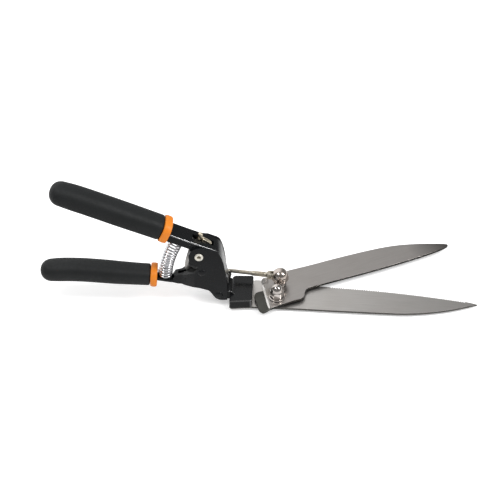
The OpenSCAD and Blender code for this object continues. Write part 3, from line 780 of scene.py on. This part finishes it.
# ------------------------------------------------------------------ pivot and drive stud
def cap_nut(base, across_flats, hex_height, dome_radius, dome_height, bore, depth):
    """Domed nut: at each height the smaller of the hexagon and a turned profile.

    The flats and the profile then meet in a true chamfer.
    """
    base = Vector(base)
    flat = across_flats / 2
    corner = flat / cos(pi / 6)
    profile = [(bore, depth), (bore, 0.5), (bore + 0.5, 0.0)]
    for i in range(5):
        inset = 0.0 if i else 0.35
        profile.append((flat + (corner - flat) * (0.55 + 0.45 * i / 4) - inset, 0.75 * i / 4))
    profile += [(corner + 0.1, 0.9), (corner + 0.1, hex_height - 1.5)]
    for i in range(1, 9):
        t = i / 8
        profile.append((corner - (corner - dome_radius) * t ** 1.3, hex_height - 1.4 + 1.4 * t))
    foot_radius, foot = dome_radius - 0.1, hex_height + 0.35
    profile.append((foot_radius, foot))
    for i in range(1, 17):
        a = pi / 2 * i / 16
        radius = foot_radius * cos(a) ** 0.92 if i < 16 else 0.02
        profile.append((radius, foot + (dome_height - 0.35) * sin(a)))
    angles = around(144)
    hexagon = [min(flat / cos((a + pi / 6) % (pi / 3) - pi / 6), corner - 0.25) for a in angles]
    rows = []
    for radius, height in profile:
        row = []
        for a, limit in zip(angles, hexagon):
            reach = min(radius, limit)
            a += pi / 6
            row.append(base + Vector((reach * cos(a), reach * sin(a), height)))
        rows.append(row)
    return rings(rows)


def washer(inner, outer, bottom, top, ease=0.25, at=(0, 0)):
    """Flat ring with eased edges."""
    profile = [(inner, bottom + ease), (inner, top - ease), (inner + ease, top),
               (outer - ease * 1.4, top), (outer - ease * 0.4, top - ease * 0.4),
               (outer, top - ease * 1.4), (outer, bottom + ease),
               (outer - ease * 0.3, bottom + ease * 0.3), (outer - ease, bottom),
               (inner + ease, bottom)]
    return revolve(profile, (*at, 0), (0, 0, 1), 96)


BLADE_TOP = BLADE_BASE + BLADE_THICK
WASHER_TOP = BLADE_TOP + 1.2
STUD_X, STUD_Y = 2.9, 16.2
# (radius, height) profiles
BOLT_PROFILE = [(0, -LIFT), (3.6, -LIFT), (4.3, -3.65), (4.9, -3.3), (5.5, -2.7), (5.9, -2.1),
                (6, -1.8), (3.0, -1.8), (3.0, 12), (2.6, 12.4), (0, 12.4)]
STUD_PROFILE = [(0, 1.65), (2.75, 1.65), (3.0, 1.9), (3.0, 10.6), (2.7, 10.95), (1.0, 10.95),
                (0.8, 10.6), (0, 10.5)]

pivot_nut = cap_nut((0, 0, WASHER_TOP), across_flats=10, hex_height=6.2, dome_radius=4.8,
                    dome_height=5.2, bore=3.0, depth=7.6)
attach(solid("pivot_acorn_nut", pivot_nut, CHROME, sharp=24), "frame", "pivot_cap_nut")
attach(solid("top_washer_ring", washer(3.0, 6.4, BLADE_TOP + 0.14, WASHER_TOP), CHROME,
             sharp=28), "frame", "top_washer")
attach(solid("bearing_washer_ring", washer(3.0, 7.0, 0.0, 1.38, ease=0.15), DARK_STEEL_AND_SHADE, sharp=28),
       "frame", "bearing_washer")
# the spacer is dark as painted shade: it stands in the shadow beside the swivel dome
stud_spacer = washer(3.0, 5.0, BLADE_TOP + 0.16, BLADE_TOP + 4.76, ease=0.35,
                     at=(STUD_X, STUD_Y))
attach(solid("stud_spacer_ring", stud_spacer, DARK_STEEL_AND_SHADE, sharp=28),
       "moving_blade_body", "stud_spacer")
attach(solid("pivot_bolt_turned", revolve(BOLT_PROFILE, (0, 0, 0), (0, 0, 1), 72), BOLT,
             sharp=30), "frame", "pivot_bolt")
attach(solid("drive_stud_turned", revolve(STUD_PROFILE, (STUD_X, STUD_Y, 0), (0, 0, 1), 64),
             CHROME, sharp=30), "moving_blade_body", "drive_stud")

# ------------------------------------------------------------------ swivel: dome cap and fork
SWIVEL_PIN = Vector((STUD_X - 8.5, STUD_Y, 13.0))
EAR_HALF = 2.6  # half height of a fork ear
EAR_ROOT = STUD_X - 2.4
# (radius, distance along Y from the pin's middle)
PIN_PROFILE = [(0, -2.75), (1.1, -2.75), (1.45, -2.5), (1.45, -2.45), (1.0, -2.4),
               (1.0, 2.4), (1.45, 2.45), (1.45, 2.5), (1.1, 2.75), (0, 2.75)]

swivel_nut = cap_nut((STUD_X, STUD_Y, 8.4), across_flats=12.2, hex_height=4.8, dome_radius=6.2,
                     dome_height=5.4, bore=3.05, depth=2.7)
swivel_parts = [solid("swivel_dome", swivel_nut, DOME, sharp=24)]
ear_outline = [(EAR_ROOT, SWIVEL_PIN.z - EAR_HALF), (EAR_ROOT, SWIVEL_PIN.z + EAR_HALF)]
ear_outline += half_circle(STUD_X - 8.5, SWIVEL_PIN.z, EAR_HALF, start=pi / 2)
for i, y in enumerate((STUD_Y - 1.95, STUD_Y + 1.95)):
    swivel_parts.append(plate("swivel_ear_%d" % i, ear_outline[::-1], 1.1, 0.2, upright(y), ZINC))
attach(join(swivel_parts, "swivel_cap_chrome"), "swivel", "swivel_cap")
attach(solid("swivel_pin_turned", revolve(PIN_PROFILE, SWIVEL_PIN, (0, 1, 0), 40), ZINC,
             sharp=30), "swivel", "swivel_pin")

# ------------------------------------------------------------------ link rod
ROD_CORNER = Vector((-39.535, 20.5, 14.377))  # where the rod turns towards -Y
ROD_RADIUS, ROD_END_RADIUS = 1.62, 1.5
ROD_START = 6  # distance from the swivel pin
ROD_BEND = 2.6
# distance from the swivel pin, radius
SLEEVE_STATIONS = [(3.3, 1.7), (3.5, 2.0), (4.0, 2.15), (6.0, 2.18), (9.0, 2.14),
                   (12.0, 2.08), (13.6, 2.02), (14.3, 1.86), (14.6, 1.58)]
CLIP_PROFILE = [(1.5, -0.5), (1.5, 0.5), (1.9, 0.62), (2.6, 0.45), (3.0, 0.2), (3.0, -0.1),
                (2.6, -0.3), (1.9, -0.5)]

rod_dir = (ROD_CORNER - SWIVEL_PIN).normalized()
straight = (ROD_CORNER - SWIVEL_PIN).length - ROD_START - ROD_BEND
rod_path = [SWIVEL_PIN + rod_dir * (ROD_START + straight * i / 24) for i in range(25)]
bend_start = ROD_CORNER - rod_dir * ROD_BEND
bend_end = ROD_CORNER + Vector((0, -1, 0)) * ROD_BEND
for i in range(1, 13):
    t = i / 12
    rod_path.append((1 - t) ** 2 * bend_start + 2 * t * (1 - t) * ROD_CORNER + t * t * bend_end)
rod_end = Vector((ROD_CORNER.x, 12.2, ROD_CORNER.z))
rod_path += [bend_end + (rod_end - bend_end) * i / 6 for i in range(1, 7)]
rod_path.append(rod_path[-1] + Vector((0, -0.12, 0)))
rod_radii = [ROD_RADIUS] * 25 + [ROD_RADIUS - 0.1 * i / 12 for i in range(1, 13)]
rod_radii += [ROD_END_RADIUS] * 5 + [1.3, 0.9]
attach(solid("link_rod_wire", sweep(rod_path, rod_radii, 28), ZINC, sharp=40),
       "rod", "link_rod")

# crimped sleeve with its flat tongue
sleeve_path = [SWIVEL_PIN + rod_dir * distance for distance, _ in SLEEVE_STATIONS]
sleeve_radii = [radius for _, radius in SLEEVE_STATIONS]
sleeve = solid("sleeve_tube", sweep(sleeve_path, sleeve_radii, 36), ZINC, sharp=40)
yaw = atan2(-rod_dir.y, -rod_dir.x)
tongue_place = Matrix.Translation(SWIVEL_PIN * MM) @ Matrix.Rotation(yaw, 4, "Z") @ turn(90, "X")
tongue_outline = half_circle(0, 0, 2.25, start=-pi / 2) + [(-4.2, 1.9), (-4.2, -1.9)]
tongue = plate("sleeve_tongue", tongue_outline, 1.9, 0.25, tongue_place, ZINC)
attach(join([sleeve, tongue], "rod_sleeve_crimped"), "rod", "rod_sleeve")
rod_clip = revolve(CLIP_PROFILE, (ROD_CORNER.x, 13.4, ROD_CORNER.z), (0, -1, 0), 48)
attach(solid("rod_clip_ring", rod_clip, DARK_STEEL_AND_SHADE, sharp=40), "rod", "rod_clip")

# ------------------------------------------------------------------ rivets
MAIN_RIVET_X, MAIN_RIVET_Z = -61.2, 46.6
MAIN_RIVET_REACH = 10.55  # from the middle plane to the rolled ends
FRAME_RIVET_REACH = 10.4
FRAME_RIVETS = [(-59.1, 30.6), (-46.1, 7.5)]  # (X, Z)
TANG_RIVETS = [(-28.5, 0.6), (-27.3, 14.6)]  # (X, Y)
# (radius, height) profiles
ROLLED_PROFILE = [(1.5, 0.2)]
for i in range(15):
    angle = pi * (1 - i / 14)
    ROLLED_PROFILE.append((2.44 + 0.90 * cos(angle), 0.40 + 0.72 * sin(angle)))
ROLLED_PROFILE += [(3.36, 0.2), (3.34, 0.0), (2.9, 0.0), (2.9, -2.5), (1.5, -2.5)]
TUBE_PROFILE = [(1.5, 0.2), (3.0, 0.2), (3.0, 16.2), (1.5, 16.2)]
FRAME_HEAD = [(0, 0.95), (0.9, 0.93), (1.8, 0.82), (2.5, 0.6), (3.0, 0.3), (3.15, 0.0),
              (2.2, 0.0), (2.2, -8.0), (0, -8.0)]
TANG_HEAD = [(0, 3.05), (1.6, 2.98), (2.8, 2.7), (3.6, 2.3), (4.0, 1.8), (2.5, 1.8),
             (2.5, -5.5), (0, -5.5)]

rivet_parts = []
for name, side in (("rivet_near", -1), ("rivet_far", 1)):
    place = (MAIN_RIVET_X, MID_Y + side * MAIN_RIVET_REACH, MAIN_RIVET_Z)
    rolled = revolve(ROLLED_PROFILE, place, (0, side, 0), 72)
    rivet_parts.append(solid(name, rolled, RIVET, sharp=40))
rivet_tube = revolve(TUBE_PROFILE, (MAIN_RIVET_X, 0, MAIN_RIVET_Z), (0, 1, 0), 64)
rivet_parts.append(solid("rivet_tube", rivet_tube, RIVET, sharp=40))
attach(join(rivet_parts, "main_rivet_rolled"), "frame", "main_pivot_rivet")

frame_heads = []
for x, z in FRAME_RIVETS:
    for side in (-1, 1):
        place = (x, MID_Y + side * FRAME_RIVET_REACH, z)
        head = revolve(FRAME_HEAD, place, (0, side, 0), 48)
        frame_heads.append(solid("frame_head", head, PAINT, sharp=40))
attach(join(frame_heads, "frame_rivet_heads"), "frame", "frame_rivets")

tang_heads = [solid("tang_head", revolve(TANG_HEAD, (x, y, 0), (0, 0, -1), 48), DARK_STEEL_AND_SHADE, sharp=40)
              for x, y in TANG_RIVETS]
attach(join(tang_heads, "tang_rivet_heads"), "frame", "tang_rivets")

# ------------------------------------------------------------------ latch lever
# (X, Z) outlines
LEVER_OUTLINE = [
    (-68.4, 55.8), (-67.2, 56.4), (-65.4, 56.0), (-63.4, 56.2), (-62.2, 57.4), (-61.9, 59.8),
    (-61.4, 61.6), (-60.2, 62.3), (-58.9, 61.9), (-58.3, 60.4), (-58.2, 58.2), (-57.2, 57.3),
    (-54.4, 55.2), (-52.0, 53.0), (-51.3, 52.1), (-52.4, 51.8), (-55, 52.6), (-58, 53.9),
    (-61, 54.2), (-63.6, 53.6), (-65.1, 51.6), (-66.2, 46.4), (-67.4, 37), (-68.2, 27),
    (-69, 22.4), (-69.4, 21.65), (-70.67, 21.6), (-72.2, 21.85), (-73.75, 22.6), (-73.7, 23),
    (-72.45, 22.7), (-72.2, 24.6), (-72.9, 28), (-72.9, 32), (-71.8, 38), (-69.6, 46.4),
    (-68.5, 52)]
NOSE_OUTLINE = [(-58.3, 57.6), (-56.6, 56.9), (-53.6, 54.6), (-51.7, 52.6), (-52.2, 52.0),
                (-54.6, 52.9), (-58.3, 54.8)]
KNOB_PROFILE = [(0, 0.0), (1.6, 0.0), (1.75, 0.3), (1.75, 4.2), (1.6, 4.9), (1.1, 5.4),
                (0.5, 5.6), (0, 5.62)]

lever = plate("latch_blade", smooth_line(LEVER_OUTLINE, 0.7, corner=60), 2.0, 0.35,
              upright(MID_Y), LATCH, holes=[circle(-66.5, 55.5, 1.35, 28)])
knob = solid("latch_knob", revolve(KNOB_PROFILE, (-60.1, MID_Y, 57.0), (0, 0, 1), 48), LATCH,
             sharp=40)
nose = plate("latch_nose", smooth_line(NOSE_OUTLINE, 0.5, corner=60)[::-1], 3.4, 0.5,
             upright(MID_Y), LATCH, rounding=3)
attach(join([lever, knob, nose], "latch_lever_bent"), "latch", "latch_lever")

# ------------------------------------------------------------------ handle spring
# the coil's bowed axis (X, Z): bottom, control point, top
SPRING_BOTTOM, SPRING_BOW, SPRING_TOP = [
    Vector(p) for p in ((-88.66, 20.66), (-87.4, 40.2), (-75.3, 60.3))]
TURNS, TURN_STEPS = 16, 36
COIL_RADIUS, WIRE_RADIUS = 5.0, 0.70
END_TURNS, END_CLIMB = 0.055, 0.026  # share of the turns in a closed end, share of the climb


def climb(t):
    """The coil climbs slowly at both ends, which closes the end turns."""
    if t < END_TURNS:
        return END_CLIMB * t / END_TURNS
    if t > 1 - END_TURNS:
        return 1 - END_CLIMB * (1 - t) / END_TURNS
    return END_CLIMB + (1 - 2 * END_CLIMB) * (t - END_TURNS) / (1 - 2 * END_TURNS)


coil = []
for i in range(TURNS * TURN_STEPS + 1):
    t = i / (TURNS * TURN_STEPS)
    s = climb(t)
    center = (1 - s) ** 2 * SPRING_BOTTOM + 2 * s * (1 - s) * SPRING_BOW + s * s * SPRING_TOP
    along = (2 * (1 - s) * (SPRING_BOW - SPRING_BOTTOM)
             + 2 * s * (SPRING_TOP - SPRING_BOW)).normalized()
    angle = 2 * pi * TURNS * t
    coil.append(Vector((center.x + COIL_RADIUS * cos(angle) * along.y,
                        MID_Y + COIL_RADIUS * sin(angle),
                        center.y - COIL_RADIUS * cos(angle) * along.x)))
spring = solid("handle_spring_coil", sweep(coil, [WIRE_RADIUS] * len(coil), 12), SPRING, sharp=60)
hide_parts("handle_spring")
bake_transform(spring)


# ------------------------------------------------------------------ parts that keep their CAD shape
def dress(node, material, bevel):
    """Give a CAD piece its material and, by modifiers, rounded edges (bevel in mm)."""
    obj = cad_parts[node]
    obj.data.materials.clear()
    obj.data.materials.append(material)
    for polygon in obj.data.polygons:
        polygon.material_index = 0
        polygon.use_smooth = True
    weld = obj.modifiers.new("weld", "WELD")
    weld.merge_threshold = 2e-6
    planar = obj.modifiers.new("planar", "DECIMATE")
    planar.decimate_type = "DISSOLVE"
    planar.angle_limit = radians(1.2)
    rounded = obj.modifiers.new("bevel", "BEVEL")
    rounded.width = bevel * MM
    rounded.segments = 3
    rounded.limit_method = "ANGLE"
    rounded.angle_limit = radians(28)
    rounded.harden_normals = True
    rounded.use_clamp_overlap = True
    rounded.miter_outer = "MITER_ARC"
    obj.modifiers.new("tri", "TRIANGULATE")


def sharp_edges(bm):
    return [e for e in bm.edges if len(e.link_faces) == 2 and e.calc_face_angle(0) > radians(35)]


def sheet_part(node, name, ease, body="frame", is_fold=None, fold=0.0, clamp=True,
               painted_highlight_material=None, fold_line=None):
    """Painted copy of a CAD part, its folds well rounded and every other edge eased (mm).

    Rounded faces that look towards -Y and lie no more than 2.5 below fold_line(X)
    take the painted highlight material, a bright band in place of the fold's highlight.
    """
    bm = bmesh.new()
    bm.from_mesh(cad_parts[node].data)
    bmesh.ops.remove_doubles(bm, verts=bm.verts, dist=2e-6)
    bmesh.ops.dissolve_limit(bm, angle_limit=radians(1.0), verts=bm.verts, edges=bm.edges)
    bmesh.ops.recalc_face_normals(bm, faces=bm.faces)
    if is_fold:
        edges = [e for e in sharp_edges(bm) if e.is_convex and is_fold(e)]
        rounded = bmesh.ops.bevel(bm, geom=edges, offset=fold * MM, segments=6, profile=0.5,
                                  affect="EDGES", clamp_overlap=clamp)
        # faces near the top of the fold take the painted highlight
        for face in rounded["faces"]:
            center = face.calc_center_median() / MM
            high = center.z - LIFT > fold_line(center.x) - 2.5
            face.material_index = 1 if face.normal.y < -0.1 and high else 0
        bmesh.ops.remove_doubles(bm, verts=bm.verts, dist=1e-6)
    bmesh.ops.bevel(bm, geom=sharp_edges(bm), offset=ease * MM, segments=3, profile=0.5,
                    affect="EDGES", clamp_overlap=True)
    bmesh.ops.triangulate(bm, faces=bm.faces)
    bmesh.ops.remove_doubles(bm, verts=bm.verts, dist=1e-6)
    bmesh.ops.recalc_face_normals(bm, faces=bm.faces)
    mesh = bpy.data.meshes.new(name)
    bm.to_mesh(mesh)
    bm.free()
    mesh.materials.append(PAINT)
    if painted_highlight_material:
        mesh.materials.append(painted_highlight_material)
    obj = add_object(name, mesh, sharp=32)
    weighted = obj.modifiers.new("wn", "WEIGHTED_NORMAL")
    weighted.keep_sharp = True
    attach(obj, body, node)


CHANNEL_HALF = 8.5  # half width of the upper handle's channel


def channel_fold(edge):
    """Edges on the channel's outer walls where its back turns over."""
    if not any(all(abs(v.co.y / MM - wall) < 0.05 for v in edge.verts)
               for wall in (MID_Y - CHANNEL_HALF, MID_Y + CHANNEL_HALF)):
        return False
    normal = sum((f.normal for f in edge.link_faces if abs(f.normal.y) < 0.5), Vector())
    return normal.z > 0.1 or normal.x > 0.6


def channel_line(x):
    """Height of the channel's fold."""
    return 64.3 - (x + 80.1) * 0.4365


def bracket_fold(edge):
    """Edges of the bracket on its +X part, off its underside."""
    return (all(v.co.x > -0.0385 for v in edge.verts)
            and all(f.normal.z > -0.5 for f in edge.link_faces))


# the channel's near fold carries the bright painted highlight
sheet_part("upper_handle", "channel_handle", 0.35, body="upper_handle_body",
           is_fold=channel_fold, fold=0.75, clamp=False, painted_highlight_material=PAINTED_FOLD_HIGHLIGHT,
           fold_line=channel_line)
sheet_part("side_plate_near", "near_plate", 0.35)
sheet_part("side_plate_far", "far_plate", 0.35)
sheet_part("lower_handle", "bar_and_tang", 0.5)
# the bracket's rounded +X folds carry the dimmer painted highlight
sheet_part("blade_bracket", "bracket_block", 0.5, is_fold=bracket_fold, fold=1.3,
           painted_highlight_material=PAINTED_EDGE_HIGHLIGHT, fold_line=lambda x: 0.0)
# black paint, as on the frame; on the spring pegs it also paints the shade seen between the coils
for node in ("lower_spring_peg", "upper_spring_peg", "catch_pin", "latch_pin"):
    dress(node, PAINT, bevel=0.25)
dress("pivot_bushing", ZINC, bevel=0.2)


# ------------------------------------------------------------------ floor
def floor_paper(name):
    """White paper, which reflections see as dark near the tool and bright beyond it."""
    graph = new_material(name)
    rays = graph.node("LightPath").outputs
    depth = graph.split(graph.node("NewGeometry").outputs["Position"])["Y"]
    shade = graph.remap(depth, span=(-0.16, 0.06), to=(0.26, 0.90),
                        interpolation_type="SMOOTHSTEP")
    reflected = graph.node("CombineColor", {0: shade, 1: shade, 2: shade}).outputs[0]
    graph.surface({
        "Roughness": 0.9,
        "Specular IOR Level": 0.1,
        "Base Color": graph.mix(rays["Is Glossy Ray"], (0.93, 0.93, 0.93), reflected),
        "Emission Color": (1, 1, 1),
        # a glow only the camera sees
        "Emission Strength": graph.math("MULTIPLY", rays["Is Camera Ray"], 0.34)})
    return graph.owner


FLOOR_HALF = 6
floor_mesh = bpy.data.meshes.new("floor")
floor_mesh.from_pydata([(x * FLOOR_HALF, y * FLOOR_HALF, 0)
                        for x, y in ((-1, -1), (1, -1), (1, 1), (-1, 1))], [], [(0, 1, 2, 3)])
floor = bpy.data.objects.new("floor", floor_mesh)
scene.collection.objects.link(floor)
floor.location = (0, 0, -0.0002)  # just clear of the bolt head
floor_mesh.materials.append(floor_paper("floor_paper"))
floor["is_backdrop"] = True


# ------------------------------------------------------------------ world
def build_world():
    """White surroundings; reflections see it bright only towards +Y and -X."""
    world = bpy.data.worlds.new("studio")
    scene.world = world
    graph = NodeGraph(world)
    world.cycles.sampling_method = "NONE"
    direction = graph.split(graph.node("TexCoord").outputs["Generated"])
    rays = graph.node("LightPath").outputs
    far = graph.remap(direction["Y"], span=(-0.05, 0.45), to=(0.0, 1.0),
                      interpolation_type="SMOOTHSTEP")
    left = graph.remap(direction["X"], span=(-0.12, 0.30), to=(0.98, 0.04),
                       interpolation_type="SMOOTHSTEP")
    # later bounces between shiny parts get extra light
    again = graph.math("MULTIPLY", graph.math("GREATER_THAN", rays["Glossy Depth"], 1.5), 0.55)
    once = graph.math("ADD", graph.math("MULTIPLY", far, left), 0.20)
    glossy = graph.math("ADD", once, again)
    # 0.88 is the strength for all rays that aren't reflections
    strength = graph.node("Mix", {0: rays["Is Glossy Ray"], 2: 0.88, 3: glossy},
                          data_type="FLOAT").outputs[0]
    backdrop = graph.math("MULTIPLY", rays["Is Camera Ray"], 0.2)
    background = graph.node("Background", {
        "Strength": graph.math("ADD", strength, backdrop), "Color": (1, 1, 1)})
    graph.node("OutputWorld", {0: background.outputs[0]})


build_world()


# ------------------------------------------------------------------ lights and camera (metres)
def area_light(name, place, size_x, size_y, power):
    """Rectangular light aimed at the middle of the tool."""
    light = bpy.data.lights.new(name, "AREA")
    light.shape = "RECTANGLE"
    light.size = size_x
    light.size_y = size_y
    light.energy = power
    obj = bpy.data.objects.new(name, light)
    scene.collection.objects.link(obj)
    obj.location = Vector(place) + Vector((0, 0, LIFT * MM))
    aim = Vector((-0.03, 0, 0.03)) - Vector(place)
    obj.rotation_euler = aim.to_track_quat("-Z", "Y").to_euler()


area_light("key", (-0.50, -0.30, 1.05), size_x=0.30, size_y=0.30, power=4.0)
area_light("top_strip", (0.55, -0.22, 0.75), size_x=0.16, size_y=0.55, power=5.0)

lens = bpy.data.cameras.new("camera")
lens.lens = 100.8
lens.sensor_width = 36
lens.clip_start = 0.01
camera = bpy.data.objects.new("camera", lens)
scene.collection.objects.link(camera)
camera.location = (-0.0214, -0.8459, 0.7370 + LIFT * MM)
camera.rotation_euler = (radians(51), 0, 0)
scene.camera = camera
scene.view_settings.view_transform = "Standard"
scene.view_settings.look = "None"

size = {"cad": [list(map(float, c)) for c in cad_box], "visual": [list(map(float, c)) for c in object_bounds()]}
